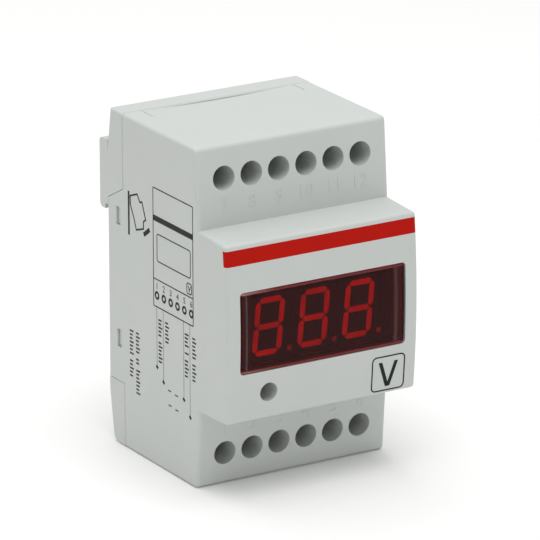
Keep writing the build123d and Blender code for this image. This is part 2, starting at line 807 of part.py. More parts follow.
# Transformer: potted winding above a stack of laminations
with BuildPart() as transformer:
    with BuildSketch(Plane.XZ.offset(main_board_front)):
        with Locations((transformer_x, transformer_z)):
            Rectangle(transformer_width - 2 * core_margin, transformer_length)
    extrude(amount=transformer_height)
    fillet(transformer.edges().filter_by(Axis.Y), transformer_radius)
    core_rear = main_board_front + (transformer_height - core_height) / 2
    with BuildSketch(Plane.XZ.offset(core_rear)):
        with Locations((transformer_x, transformer_z)):
            Rectangle(transformer_width, transformer_length - 2 * core_margin)
    extrude(amount=core_height)
write(transformer, "transformer")

# Supply capacitors: upright cans with a crimped groove
with BuildPart() as filter_capacitors:
    groove_base = main_board_front + capacitor_radius / 2
    with BuildSketch(Plane.XZ.offset(main_board_front)):
        with Locations(*capacitor_places):
            Circle(capacitor_radius)
    extrude(amount=capacitor_height)
    with BuildSketch(Plane.XZ.offset(groove_base)):
        with Locations(*capacitor_places):
            Circle(capacitor_radius)
            Circle(capacitor_radius - capacitor_groove, mode=Mode.SUBTRACT)
    extrude(amount=2 * capacitor_groove, mode=Mode.SUBTRACT)
write(filter_capacitors, "filter_capacitors")

# Bridge rectifier: flat moulded block
with BuildPart() as bridge_rectifier:
    with BuildSketch(Plane.XZ.offset(main_board_front)):
        with Locations((rectifier_x, rectifier_z)):
            Rectangle(rectifier_width, rectifier_length)
    extrude(amount=rectifier_height)
    chamfer(bridge_rectifier.faces().sort_by(Axis.Y)[0].edges(), chip_bevel)
write(bridge_rectifier, "bridge_rectifier")

# Voltage regulator: moulded body with a drilled metal tab
with BuildPart() as voltage_regulator:
    with BuildSketch(Plane.XZ.offset(main_board_front)):
        with Locations((regulator_x, regulator_z)):
            Rectangle(regulator_width, regulator_thickness)
    extrude(amount=regulator_height)
    tab_z = regulator_z - (regulator_thickness - regulator_tab_thickness) / 2
    tab_front = main_board_front + regulator_height
    with BuildSketch(Plane.XZ.offset(tab_front)):
        with Locations((regulator_x, tab_z)):
            Rectangle(regulator_width, regulator_tab_thickness)
    extrude(amount=regulator_tab)
    with Locations(Location((regulator_x, -tab_front - regulator_tab / 2, tab_z))):
        Cylinder(regulator_hole_radius, 2 * regulator_tab_thickness, mode=Mode.SUBTRACT)
write(voltage_regulator, "voltage_regulator")

# Fuse and varistor: a round can and a coated disc on edge
with BuildPart() as fuse:
    with BuildSketch(Plane.XZ.offset(main_board_front)):
        with Locations((fuse_x, fuse_z)):
            Circle(fuse_radius)
    extrude(amount=fuse_height)
write(fuse, "fuse")

with BuildPart() as varistor:
    with BuildSketch(Plane.XY.offset(varistor_z - varistor_thickness / 2)):
        with Locations((varistor_x, -main_board_front - varistor_radius)):
            Circle(varistor_radius)
    extrude(amount=varistor_thickness)
write(varistor, "varistor")

# Divider resistors, lying on the board
with BuildPart() as divider_resistors:
    for z in resistor_zs:
        with BuildSketch(Plane.YZ.offset(resistor_x - resistor_length / 2)):
            with Locations((-main_board_front - resistor_radius, z)):
                Circle(resistor_radius)
        extrude(amount=resistor_length)
write(divider_resistors, "divider_resistors")

# Converter chip on the back of the display board, with leads on four sides
with BuildPart() as converter_chip:
    with BuildSketch(Plane.XZ.offset(display_board_rear - chip_height)):
        Rectangle(chip_size, chip_size)
    extrude(amount=chip_height)
    chamfer(converter_chip.faces().sort_by(Axis.Y)[-1].edges(), chip_bevel)
    lead_span = chip_size + 2 * chip_lead_reach
    with BuildSketch(Plane.XZ.offset(display_board_rear - chip_lead_thickness)):
        with GridLocations(chip_lead_pitch, 0, chip_leads, 1):
            Rectangle(chip_lead_width, lead_span)
        with GridLocations(0, chip_lead_pitch, 1, chip_leads):
            Rectangle(lead_span, chip_lead_width)
    extrude(amount=chip_lead_thickness)
write(converter_chip, "converter_chip")
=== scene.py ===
import math
import bmesh
import bpy
import numpy as np
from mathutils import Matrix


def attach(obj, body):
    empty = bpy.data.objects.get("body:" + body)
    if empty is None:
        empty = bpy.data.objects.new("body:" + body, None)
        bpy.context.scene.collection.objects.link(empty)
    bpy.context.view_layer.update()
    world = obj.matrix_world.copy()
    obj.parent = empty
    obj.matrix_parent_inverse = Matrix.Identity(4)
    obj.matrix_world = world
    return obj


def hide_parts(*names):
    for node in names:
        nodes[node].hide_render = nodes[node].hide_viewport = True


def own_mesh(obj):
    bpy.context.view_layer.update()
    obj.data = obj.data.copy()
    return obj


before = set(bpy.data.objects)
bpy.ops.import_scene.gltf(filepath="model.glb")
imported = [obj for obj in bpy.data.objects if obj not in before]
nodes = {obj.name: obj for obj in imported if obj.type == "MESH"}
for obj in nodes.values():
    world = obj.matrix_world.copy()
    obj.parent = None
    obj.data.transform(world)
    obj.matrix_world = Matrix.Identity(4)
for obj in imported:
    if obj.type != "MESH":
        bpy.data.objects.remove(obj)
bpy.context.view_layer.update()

mm = 0.001


def linear(hexColour):  # sRGB hex to linear colour with alpha, by the sRGB curve
    c = np.array([int(hexColour[i:i + 2], 16) for i in (1, 3, 5)]) / 255
    c = np.where(c <= 0.04045, c / 12.92, ((c + 0.055) / 1.055) ** 2.4)
    return (*c.tolist(), 1.0)


def perMm(size):  # noise scale whose grains are about this many mm across, on metre coordinates
    return 1 / (size * mm)


def addNode(tree, kind, settings={}, links={}):  # a node with its settings, then its links by socket
    node = tree.nodes.new(kind)
    for key, value in settings.items():
        if isinstance(key, int) or key in node.inputs:
            node.inputs[key].default_value = value
        else:
            setattr(node, key, value)
    for socket, source in links.items():
        tree.links.new(source, node.inputs[socket])
    return node


def newMaterial(name):  # an empty node tree, with Object coordinates ready
    material = bpy.data.materials.new(name)
    material.use_nodes = True
    tree = material.node_tree
    tree.nodes.clear()
    return material, tree, addNode(tree, "ShaderNodeTexCoord").outputs["Object"]


def surface(tree, settings, links):  # principled shader to the output
    shader = addNode(tree, "ShaderNodeBsdfPrincipled", settings, links)
    addNode(tree, "ShaderNodeOutputMaterial", {}, {"Surface": shader.outputs["BSDF"]})


# Thermoplastic from a mould: the eye sees the fine grain of the eroded steel and a slight clouding of the
# colour. A look may have its own gloss.
mouldedBase = {"ior": 1.55, "gloss": 0.5}


def moulded(name, look):
    material, tree, place = newMaterial(name)
    cloud = addNode(tree, "ShaderNodeTexNoise", {"Scale": perMm(look["cloudMm"]), "Detail": 3.0},
                    {"Vector": place})
    grain = addNode(tree, "ShaderNodeTexNoise", {"Scale": perMm(look["grainMm"]), "Detail": 2.0},
                    {"Vector": place})
    tint = addNode(tree, "ShaderNodeMix",
                   {"data_type": "RGBA", 6: linear(look["colour"]), 7: linear(look["second"])},
                   {0: cloud.outputs["Fac"]})
    low, high = look["rough"]
    rough = addNode(tree, "ShaderNodeMapRange", {"To Min": low, "To Max": high},
                    {"Value": grain.outputs["Fac"]})
    bump = addNode(tree, "ShaderNodeBump", {"Strength": look["bump"], "Distance": look["deepMm"] * mm},
                   {"Height": grain.outputs["Fac"]})
    surface(tree, {"IOR": mouldedBase["ior"], "Specular IOR Level": look.get("gloss", mouldedBase["gloss"])},
            {"Base Color": tint.outputs[2], "Roughness": rough.outputs["Result"],
             "Normal": bump.outputs["Normal"]})
    return material


# Metal: fine drawn or tumbled marks, drawn out along one axis, and a little tarnish.
def metal(name, look):
    material, tree, place = newMaterial(name)
    drawn = addNode(tree, "ShaderNodeMapping", {"Scale": look["drawn"]}, {"Vector": place})
    marks = addNode(tree, "ShaderNodeTexNoise", {"Scale": perMm(look["markMm"]), "Detail": 3.0},
                    {"Vector": drawn.outputs["Vector"]})
    tarnish = addNode(tree, "ShaderNodeTexNoise", {"Scale": perMm(look["tarnishMm"]), "Detail": 4.0},
                      {"Vector": place})
    tint = addNode(tree, "ShaderNodeMix",
                   {"data_type": "RGBA", 6: linear(look["colour"]), 7: linear(look["second"])},
                   {0: tarnish.outputs["Fac"]})
    low, high = look["rough"]
    rough = addNode(tree, "ShaderNodeMapRange", {"To Min": low, "To Max": high},
                    {"Value": marks.outputs["Fac"]})
    bump = addNode(tree, "ShaderNodeBump", {"Strength": look["bump"], "Distance": look["deepMm"] * mm},
                   {"Height": marks.outputs["Fac"]})
    surface(tree, {"Metallic": 1.0},
            {"Base Color": tint.outputs[2], "Roughness": rough.outputs["Result"],
             "Normal": bump.outputs["Normal"]})
    return material


# Case: light grey polycarbonate blend, spark-eroded mould. Grain is drawn at 0.35 mm so that it shows in the
# render.
caseLook = {"colour": "#c5c9c6", "second": "#c1c5c2", "cloudMm": 14, "grainMm": 0.35, "rough": (0.42, 0.56),
            "bump": 0.16, "deepMm": 0.03}
# Stripe: red foil hot-stamped into its bed, smoother than the case.
stripeLook = {"colour": "#b8150a", "second": "#b01308", "cloudMm": 6, "grainMm": 0.5, "rough": (0.35, 0.48),
              "bump": 0.08, "deepMm": 0.02, "gloss": 0.06}
# Digit block: matt black epoxy face.
digitLook = {"colour": "#141213", "second": "#1b1617", "cloudMm": 3, "grainMm": 0.2, "rough": (0.55, 0.7),
             "bump": 0.2, "deepMm": 0.02}
# Rail clip and terminal block: glass-filled nylon, a little rougher, with a flow pattern in the colour.
clipLook = {"colour": "#8d918e", "second": "#7f8380", "cloudMm": 4, "grainMm": 0.3, "rough": (0.45, 0.65),
            "bump": 0.25, "deepMm": 0.04}
blockLook = {"colour": "#4a4e4c", "second": "#414543", "cloudMm": 4, "grainMm": 0.3, "rough": (0.45, 0.65),
             "bump": 0.25, "deepMm": 0.04}
# Trimmer: polyester body and rotor, smooth and slightly glossy.
trimmerLook = {"colour": "#1f5fa8", "second": "#1b5496", "cloudMm": 2, "grainMm": 0.2, "rough": (0.35, 0.5),
               "bump": 0.15, "deepMm": 0.02}
rotorLook = {"colour": "#e9e7de", "second": "#dedbd0", "cloudMm": 2, "grainMm": 0.2, "rough": (0.35, 0.5),
             "bump": 0.15, "deepMm": 0.02}
# Potting: cast black epoxy with a soft skin and small sink marks.
pottingLook = {"colour": "#17181a", "second": "#202124", "cloudMm": 5, "grainMm": 1.6, "rough": (0.3, 0.5),
               "bump": 0.3, "deepMm": 0.08}
# Fuse: brown phenolic, smooth.
fuseLook = {"colour": "#5a3020", "second": "#4f2919", "cloudMm": 2, "grainMm": 0.3, "rough": (0.3, 0.45),
            "bump": 0.15, "deepMm": 0.02}
# Varistor: dipped epoxy, glossy, with the run of the dip in it.
discLook = {"colour": "#1d4e8f", "second": "#2a5fa3", "cloudMm": 2.5, "grainMm": 1.2, "rough": (0.2, 0.35),
            "bump": 0.35, "deepMm": 0.08}

# Metals: bright zinc on steel, grey drawn wire, yellow stamped brass.
steelLook = {"colour": "#c9cbcd", "second": "#b2b5b8", "drawn": (1, 6, 1), "markMm": 0.4, "tarnishMm": 2,
             "rough": (0.2, 0.38), "bump": 0.25, "deepMm": 0.01}
springLook = {"colour": "#a7a9ab", "second": "#8f9194", "drawn": (0.2, 2, 2), "markMm": 0.3, "tarnishMm": 3,
              "rough": (0.22, 0.4), "bump": 0.25, "deepMm": 0.01}
brassLook = {"colour": "#d9b364", "second": "#c19a4c", "drawn": (1, 1, 5), "markMm": 0.4, "tarnishMm": 1.5,
             "rough": (0.22, 0.4), "bump": 0.25, "deepMm": 0.01}

caseGrey = moulded("moulded_grey_polycarbonate", caseLook)
finishes = {
    "case_grey": caseGrey,
    "stripe_red": moulded("stamped_red_foil", stripeLook),
    "digit_face": moulded("black_epoxy_face", digitLook),
    "clip_plastic": moulded("moulded_grey_nylon", clipLook),
    "terminal_plastic": moulded("moulded_dark_nylon", blockLook),
    "trimmer_blue": moulded("moulded_blue_polyester", trimmerLook),
    "rotor_white": moulded("moulded_white_polyester", rotorLook),
    "potting": moulded("cast_black_epoxy", pottingLook),
    "fuse_brown": moulded("moulded_brown_phenolic", fuseLook),
    "disc_blue": moulded("dipped_blue_epoxy", discLook),
    "plated_steel": metal("zinc_plated_steel", steelLook),
    "spring_steel": metal("drawn_spring_wire", springLook),
    "brass": metal("stamped_brass", brassLook),
}


# Window: clear red acrylic, polished, so it tints what is behind it and mirrors the room faintly. Its upper
# and lower bevels are milky and rougher, and carry painted light: a painted red glow, brighter on the lower
# bevel than the upper, and a painted pale highlight at the left end. Painted highlight streaks, some glossy
# and some milky, run down both ends of the pane. Places and widths are in mm.
windowLook = {"colour": "#a01010", "rough": 0.03, "ior": 1.22, "milkAndHighlight": 0.032, "shineIor": 1.6,
              "shineRough": 0.25}
# Bevel rim: its lower and upper colours are painted glow, its left colour a painted pale highlight.
windowRim = {"halfHeight": 10.03, "middle": 0.2, "fade": (0.35, 0.8), "lower": "#b02c30",
             "upper": "#8e2426", "left": "#cf908a", "leftFade": (-21.5, -13.0), "milkAndHighlight": 0.7, "rough": 0.3,
             "shine": 0.6}
# Painted highlight streaks down both ends of the pane: place, half width, coat shine and milk, in mm.
paintedWindowStreaks = [{"at": -21.95, "half": 0.6, "shine": 0.0, "milkAndHighlight": 0.12},
               {"at": -21.1, "half": 0.45, "shine": 0.8, "milkAndHighlight": 0.0},
               {"at": -20.2, "half": 0.7, "shine": 0.0, "milkAndHighlight": 0.10},
               {"at": 20.1, "half": 0.9, "shine": 0.45, "milkAndHighlight": 0.12},
               {"at": 21.3, "half": 0.5, "shine": 0.0, "milkAndHighlight": 0.20}]


def redAcrylic(name, look, edge, lines):
    material, tree, place = newMaterial(name)
    apart = addNode(tree, "ShaderNodeSeparateXYZ", {}, {"Vector": place})
    across, height = apart.outputs["X"], apart.outputs["Z"]
    # Rim, which carries the painted glow: 1 within the bevel and 0 further in, by the distance halfHeight -
    # |z - middle| from the upper or lower edge.
    middle = edge["middle"] * mm
    rise = addNode(tree, "ShaderNodeMath", {"operation": "SUBTRACT", 1: middle}, {0: height})
    rise = addNode(tree, "ShaderNodeMath", {"operation": "ABSOLUTE"}, {0: rise.outputs["Value"]})
    rim = addNode(tree, "ShaderNodeMapRange",
                  {"From Min": (edge["halfHeight"] - edge["fade"][1]) * mm,
                   "From Max": (edge["halfHeight"] - edge["fade"][0]) * mm},
                  {"Value": rise.outputs["Value"]}).outputs["Result"]
    # Rim colours, painted light: a brighter red glow painted on the lower bevel than on the upper one, and a
    # painted pale highlight on both at the left end.
    isUpper = addNode(tree, "ShaderNodeMath", {"operation": "GREATER_THAN", 1: middle}, {0: height})
    rimPaintedLight = addNode(tree, "ShaderNodeMix",
                      {"data_type": "RGBA", 6: linear(edge["lower"]), 7: linear(edge["upper"])},
                      {0: isUpper.outputs["Value"]})
    leftStart, leftEnd = edge["leftFade"]
    fromLeft = addNode(tree, "ShaderNodeMapRange", {"From Min": leftStart * mm, "From Max": leftEnd * mm},
                       {"Value": across})
    rimPaintedLight = addNode(tree, "ShaderNodeMix", {"data_type": "RGBA", 6: linear(edge["left"])},
                      {0: fromLeft.outputs["Result"], 7: rimPaintedLight.outputs[2]})
    tint = addNode(tree, "ShaderNodeMix", {"data_type": "RGBA", 6: linear(look["colour"])},
                   {0: rim, 7: rimPaintedLight.outputs[2]})
    rough = addNode(tree, "ShaderNodeMapRange", {"To Min": look["rough"], "To Max": edge["rough"]},
                    {"Value": rim})
    # Milk and shine: the rim's, where the milk shows the painted rim glow, or that of a line, a painted
    # highlight streak, which fades to 0 at its half width on both sides, if that is more.
    amount = {}
    for key, least in (("milkAndHighlight", look["milkAndHighlight"]), ("shine", 0.0)):
        amount[key] = addNode(tree, "ShaderNodeMapRange", {"To Min": least, "To Max": edge[key]},
                              {"Value": rim}).outputs["Result"]
    # Each line is a painted highlight streak down one end of the pane.
    for line in lines:
        away = addNode(tree, "ShaderNodeMath", {"operation": "SUBTRACT", 1: line["at"] * mm}, {0: across})
        away = addNode(tree, "ShaderNodeMath", {"operation": "ABSOLUTE"}, {0: away.outputs["Value"]})
        for key in amount:
            near = addNode(tree, "ShaderNodeMapRange",
                           {"From Max": line["half"] * mm, "To Min": line[key], "To Max": 0.0},
                           {"Value": away.outputs["Value"]})
            amount[key] = addNode(tree, "ShaderNodeMath", {"operation": "MAXIMUM"},
                                  {0: amount[key], 1: near.outputs["Result"]}).outputs["Value"]
    clear = addNode(tree, "ShaderNodeMath", {"operation": "SUBTRACT", 0: 1.0}, {1: amount["milkAndHighlight"]})
    surface(tree, {"IOR": look["ior"], "Coat Roughness": look["shineRough"], "Coat IOR": look["shineIor"]},
            {"Base Color": tint.outputs[2], "Transmission Weight": clear.outputs["Value"],
             "Roughness": rough.outputs["Result"], "Coat Weight": amount["shine"]})
    return material


# Segments: milky red epoxy in the digit, lit from behind by their chips; the bars are not quite equally
# bright, and the decimal points, one to a digit, are dimmer. Noise within the spread gives the strength.
segmentLook = {"colour": "#d8423a", "glow": "#ff2a1c", "strength": (0.40, 0.66), "unevenMm": 9,
               "spread": (0.3, 0.7), "rough": 0.4, "ior": 1.5,
               "point": (5.2, -6.7), "pitch": 12.4, "reach": 1.2, "pointShare": 0.4}


def litEpoxy(name, look):
    material, tree, place = newMaterial(name)
    uneven = addNode(tree, "ShaderNodeTexNoise", {"Scale": perMm(look["unevenMm"]), "Detail": 2.0},
                     {"Vector": place})
    dim, bright = look["strength"]
    low, high = look["spread"]
    glow = addNode(tree, "ShaderNodeMapRange",
                   {"From Min": low, "From Max": high, "To Min": dim, "To Max": bright},
                   {"Value": uneven.outputs["Fac"]})
    # A decimal point: x, wrapped to one digit's pitch, and z both lie within reach of the point's place.
    apart = addNode(tree, "ShaderNodeSeparateXYZ", {}, {"Vector": place})
    pointX, pointZ = look["point"]
    wrap = {"operation": "WRAP", 1: (pointX + look["pitch"] / 2) * mm, 2: (pointX - look["pitch"] / 2) * mm}
    inDigit = addNode(tree, "ShaderNodeMath", wrap, {0: apart.outputs["X"]})
    nearX = addNode(tree, "ShaderNodeMath", {"operation": "COMPARE", 1: pointX * mm, 2: look["reach"] * mm},
                    {0: inDigit.outputs["Value"]})
    nearZ = addNode(tree, "ShaderNodeMath", {"operation": "COMPARE", 1: pointZ * mm, 2: look["reach"] * mm},
                    {0: apart.outputs["Z"]})
    isPoint = addNode(tree, "ShaderNodeMath", {"operation": "MULTIPLY"},
                      {0: nearX.outputs["Value"], 1: nearZ.outputs["Value"]})
    share = addNode(tree, "ShaderNodeMapRange", {"To Min": 1.0, "To Max": look["pointShare"]},
                    {"Value": isPoint.outputs["Value"]})
    strength = addNode(tree, "ShaderNodeMath", {"operation": "MULTIPLY"},
                       {0: glow.outputs["Result"], 1: share.outputs["Result"]})
    surface(tree, {"Base Color": linear(look["colour"]), "Roughness": look["rough"], "IOR": look["ior"],
                   "Emission Color": linear(look["glow"])},
            {"Emission Strength": strength.outputs["Value"]})
    return material


# Board: glass laminate under green solder mask; the tracks show as slightly lighter, raised lines. They are
# the joints of a brick pattern, whose unit holds so many rows; length and track width are in that unit.
boardLook = {"mask": "#1f5b35", "track": "#2c7a49", "rowMm": 2.2, "rows": 4, "length": 1.6,
             "trackWidth": 0.06, "weaveMm": 0.5, "rough": (0.25, 0.42), "bump": 0.5, "deepMm": 0.04,
             "ior": 1.52}


def solderMask(name, look):
    material, tree, place = newMaterial(name)
    upright = addNode(tree, "ShaderNodeMapping", {"Rotation": (math.pi / 2, 0, 0)}, {"Vector": place})
    tracks = addNode(tree, "ShaderNodeTexBrick",
                     {"Scale": perMm(look["rowMm"] * look["rows"]), "Mortar Size": look["trackWidth"],
                      "Brick Width": look["length"], "Row Height": 1 / look["rows"]},
                     {"Vector": upright.outputs["Vector"]})
    weave = addNode(tree, "ShaderNodeTexNoise", {"Scale": perMm(look["weaveMm"]), "Detail": 2.0},
                    {"Vector": place})
    tint = addNode(tree, "ShaderNodeMix",
                   {"data_type": "RGBA", 6: linear(look["mask"]), 7: linear(look["track"])},
                   {0: tracks.outputs["Fac"]})
    low, high = look["rough"]
    rough = addNode(tree, "ShaderNodeMapRange", {"To Min": low, "To Max": high},
                    {"Value": weave.outputs["Fac"]})
    bump = addNode(tree, "ShaderNodeBump", {"Strength": look["bump"], "Distance": look["deepMm"] * mm},
                   {"Height": tracks.outputs["Fac"]})
    surface(tree, {"IOR": look["ior"]},
            {"Base Color": tint.outputs[2], "Roughness": rough.outputs["Result"],
             "Normal": bump.outputs["Normal"]})
    return material


# Printed sleeves and bodies: bands across one axis, each from a share of a span that is in mm, under a smooth
# skin.
bandedSkin = {"grainMm": 0.5, "rough": (0.25, 0.4), "bump": 0.2, "deepMm": 0.03, "ior": 1.53}


def banded(name, look, skin):
    material, tree, place = newMaterial(name)
    axis = addNode(tree, "ShaderNodeSeparateXYZ", {}, {"Vector": place}).outputs[look["axis"]]
    start, end = (v * mm for v in look["span"])
    along = addNode(tree, "ShaderNodeMapRange", {"From Min": start, "From Max": end}, {"Value": axis})
    ramp = addNode(tree, "ShaderNodeValToRGB", {}, {"Fac": along.outputs["Result"]})
    ramp.color_ramp.interpolation = "CONSTANT"
    stops = ramp.color_ramp.elements
    stops.remove(stops[1])
    first, *rest = look["bands"]
    stops[0].position, stops[0].color = first[0], linear(first[1])
    for position, colour in rest:
        stops.new(position).color = linear(colour)
    grain = addNode(tree, "ShaderNodeTexNoise", {"Scale": perMm(skin["grainMm"]), "Detail": 2.0},
                    {"Vector": place})
    low, high = skin["rough"]
    rough = addNode(tree, "ShaderNodeMapRange", {"To Min": low, "To Max": high},
                    {"Value": grain.outputs["Fac"]})
    bump = addNode(tree, "ShaderNodeBump", {"Strength": skin["bump"], "Distance": skin["deepMm"] * mm},
                   {"Height": grain.outputs["Fac"]})
    surface(tree, {"IOR": skin["ior"]},
            {"Base Color": ramp.outputs["Color"], "Roughness": rough.outputs["Result"],
             "Normal": bump.outputs["Normal"]})
    return material


# Capacitor sleeve: shrunk dark PVC with a bare aluminium top. Resistors: lacquer with colour rings.
sleeveLook = {"axis": "Y", "span": (-21, -6),
              "bands": [(0.0, "#b9bcc0"), (0.06, "#1d2630"), (0.85, "#27323e")]}
lacquerLook = {"axis": "X", "span": (-18.3, -11.7),
               "bands": [(0.0, "#c8b48a"), (0.16, "#6a3a1c"), (0.24, "#c8b48a"), (0.36, "#1a1a1a"),
                         (0.44, "#c8b48a"), (0.56, "#c0651e"), (0.64, "#c8b48a"), (0.82, "#b58e35"),
                         (0.9, "#c8b48a")]}

finishes["window_red"] = redAcrylic("polished_red_acrylic", windowLook, windowRim, paintedWindowStreaks)
finishes["segment_red"] = litEpoxy("milky_red_epoxy", segmentLook)
finishes["board"] = solderMask("green_solder_mask", boardLook)
finishes["can_sleeve"] = banded("shrunk_pvc_sleeve", sleeveLook, bandedSkin)
finishes["resistor_body"] = banded("ringed_resistor_lacquer", lacquerLook, bandedSkin)

for node in nodes.values():
    for slot in node.material_slots:
        slot.material = finishes[slot.material.name]
print("finishes:", len(finishes), "on", len(nodes), "nodes")


# Print and moulded signs: ink stands this high above a face and reaches this deep into it, in mm. A corner's
# push is lengthened by no more than 1 / cornerLimit.
inkHeight = 0.03
inkSink = 0.02
cornerLimit = 0.35


# A flat line: a rectangle carried along a path in the plane. Each point is pushed to both sides along the
# mean of its two edge normals, lengthened at corners so that the line keeps its width, or straight to both
# sides where its ends are cut level.
def inkLine(path, width, closed=False, level=False):
    p = np.asarray(path, float)
    ahead = np.roll(p, -1, 0) - p
    if not closed:
        ahead[-1] = ahead[-2]
    ahead /= np.linalg.norm(ahead, axis=1, keepdims=True)
    behind = np.roll(ahead, 1, 0)
    if not closed:
        behind[0] = ahead[0]
    normal = np.stack([-ahead[:, 1], ahead[:, 0]], 1)
    mean = normal + np.stack([-behind[:, 1], behind[:, 0]], 1)
    mean /= np.linalg.norm(mean, axis=1, keepdims=True)
    reach = width / 2 / np.clip((mean * normal).sum(1), cornerLimit, 1)
    push = mean * reach[:, None]
    if level:
        push = np.stack([width / 2 / normal[:, 0], np.zeros(len(p))], 1)
    low, high = np.full((len(p), 1), -inkSink), np.full((len(p), 1), inkHeight)
    rings = np.stack([np.hstack([p + push, low]), np.hstack([p + push, high]),
                      np.hstack([p - push, high]), np.hstack([p - push, low])], 1)
    i, j = np.meshgrid(np.arange(len(p) - (not closed)), np.arange(4), indexing="ij")
    k, n = (i + 1) % len(p), (j + 1) % 4
    faces = np.stack([4 * i + j, 4 * i + n, 4 * k + n, 4 * k + j], -1).reshape(-1, 4).tolist()
    if not closed:
        last = 4 * len(p)
        faces += [[3, 2, 1, 0], [last - 4, last - 3, last - 2, last - 1]]
    return rings.reshape(-1, 3), faces


# Closed outlines as whole arrays: a circle by its angle, a rectangle with quarter circles at its corners.
def circlePath(centre, radius, count=28):
    a = np.linspace(0, 2 * np.pi, count, endpoint=False)
    return np.stack([centre[0] + radius * np.cos(a), centre[1] + radius * np.sin(a)], 1)


def roundedPath(low, high, radius, count=6):
    a = (np.linspace(0, np.pi / 2, count)[None, :] + np.arange(4)[:, None] * np.pi / 2).ravel()
    signs = np.repeat([[1, 1], [-1, 1], [-1, -1], [1, -1]], count, 0)
    middle, half = np.add(low, high) / 2, np.subtract(high, low) / 2
    return middle + signs * (half - radius) + radius * np.stack([np.cos(a), np.sin(a)], 1)


# A plain sign from the built-in face, as arrays: scaled to its height, centred, from inkSink below the plane
# to its thickness above. The face is extruded only to tell its front from its back.
signFace = {"extrude": 0.05, "resolution": 3}


def signMesh(text, height, thick):
    curve = bpy.data.curves.new("sign", "FONT")
    curve.body, curve.extrude, curve.resolution_u = text, signFace["extrude"], signFace["resolution"]
    holder = bpy.data.objects.new("sign", curve)
    mesh = bpy.data.meshes.new_from_object(holder)
    v = np.empty(len(mesh.vertices) * 3)
    mesh.vertices.foreach_get("co", v)
    v = v.reshape(-1, 3)
    faces = [list(f.vertices) for f in mesh.polygons]
    bpy.data.objects.remove(holder)
    bpy.data.curves.remove(curve)
    bpy.data.meshes.remove(mesh)
    low, high = v.min(0), v.max(0)
    scale = height / (high[1] - low[1])
    flat = (v[:, :2] - (low[:2] + high[:2]) / 2) * scale
    lift = np.where(v[:, 2] > 0, thick, -inkSink)
    return np.column_stack([flat, lift]), faces


def shifted(part, u, v):  # a flat part moved in its plane
    points, faces = part
    return points + [u, v, 0], faces


def joined(parts):  # several parts as one list of points and faces
    starts = np.cumsum([0] + [len(points) for points, _ in parts])
    faces = [[int(i + start) for i in face]
             for start, (_, partFaces) in zip(starts, parts) for face in partFaces]
    return np.vstack([points for points, _ in parts]), faces


def onPlane(part, origin, right, up):  # plane coordinates in mm to the frame; the normal is right x up
    points, faces = part
    right, up = np.array(right, float), np.array(up, float)
    right, up = right / np.linalg.norm(right), up / np.linalg.norm(up)
    axes = np.stack([right, up, np.cross(right, up)])
    return (np.array(origin) + points @ axes) * mm, faces


weldReach = 1e-7  # points closer than this, in metres, become one


def addPiece(name, part, material, body, smooth=False):  # arrays to an object that rides on a body
    mesh = bpy.data.meshes.new(name)
    mesh.from_pydata(part[0].tolist(), [], part[1])
    work = bmesh.new()
    work.from_mesh(mesh)
    bmesh.ops.remove_doubles(work, verts=work.verts, dist=weldReach)
    bmesh.ops.recalc_face_normals(work, faces=work.faces)
    work.to_mesh(mesh)
    work.free()
    mesh.polygons.foreach_set("use_smooth", np.full(len(mesh.polygons), smooth))
    mesh.materials.append(material)
    piece = bpy.data.objects.new(name, mesh)
    bpy.context.scene.collection.objects.link(piece)
    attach(piece, body)
    return piece


# Pad-printed ink: dark grey, a little satin.
inkLook = {"colour": "#1b1d1f", "second": "#232527", "cloudMm": 1.5, "grainMm": 0.25, "rough": (0.45, 0.6),
           "bump": 0.1, "deepMm": 0.01, "gloss": 0.15}
inkGrey = moulded("pad_printed_ink", inkLook)

# The nose's face is part of a cylinder about X: depth = front - radius + sqrt(radius^2 - z^2). Plane
# coordinates are X and Z, and the third is the height above the face.
noseFace = {"front": 56.05, "bow": 1.2, "half": 22.0}


def onNose(part):
    points, faces = part
    radius = (noseFace["half"] ** 2 + noseFace["bow"] ** 2) / (2 * noseFace["bow"])
    depth = noseFace["front"] - radius + np.sqrt(radius ** 2 - points[:, 1] ** 2)
    return np.stack([points[:, 0], -depth - points[:, 2], points[:, 1]], 1) * mm, faces


def dense(path, step, closed=False):  # extra points on a path, so that it can follow a bowed face
    p = np.asarray(path, float)
    ends = np.vstack([p, p[:1]]) if closed else p
    length = np.concatenate([[0], np.cumsum(np.linalg.norm(np.diff(ends, axis=0), axis=1))])
    count = int(length[-1] / step) + 2
    at = np.union1d(length, np.linspace(0, length[-1], count))
    if closed:
        at = at[:-1]
    return np.stack([np.interp(at, length, ends[:, 0]), np.interp(at, length, ends[:, 1])], 1)


# Unit sign at the lower right of the nose: the letter V in a rounded frame
unitSign = {"low": (13.9, -21.1), "high": (22.85, -12.4), "radius": 1.1, "line": 0.34, "step": 0.6,
            "strokes": [[(16.1, -13.85), (18.18, -20.1)], [(20.52, -13.85), (18.42, -20.1)]],
            "stroke": 0.94}
unitFrame = roundedPath(unitSign["low"], unitSign["high"], unitSign["radius"])
unitParts = [inkLine(dense(unitFrame, unitSign["step"], True), unitSign["line"], True)]
for stroke in unitSign["strokes"]:
    unitParts.append(inkLine(dense(stroke, unitSign["step"]), unitSign["stroke"], level=True))
addPiece("unit_sign", onNose(joined(unitParts)), inkGrey, "case")

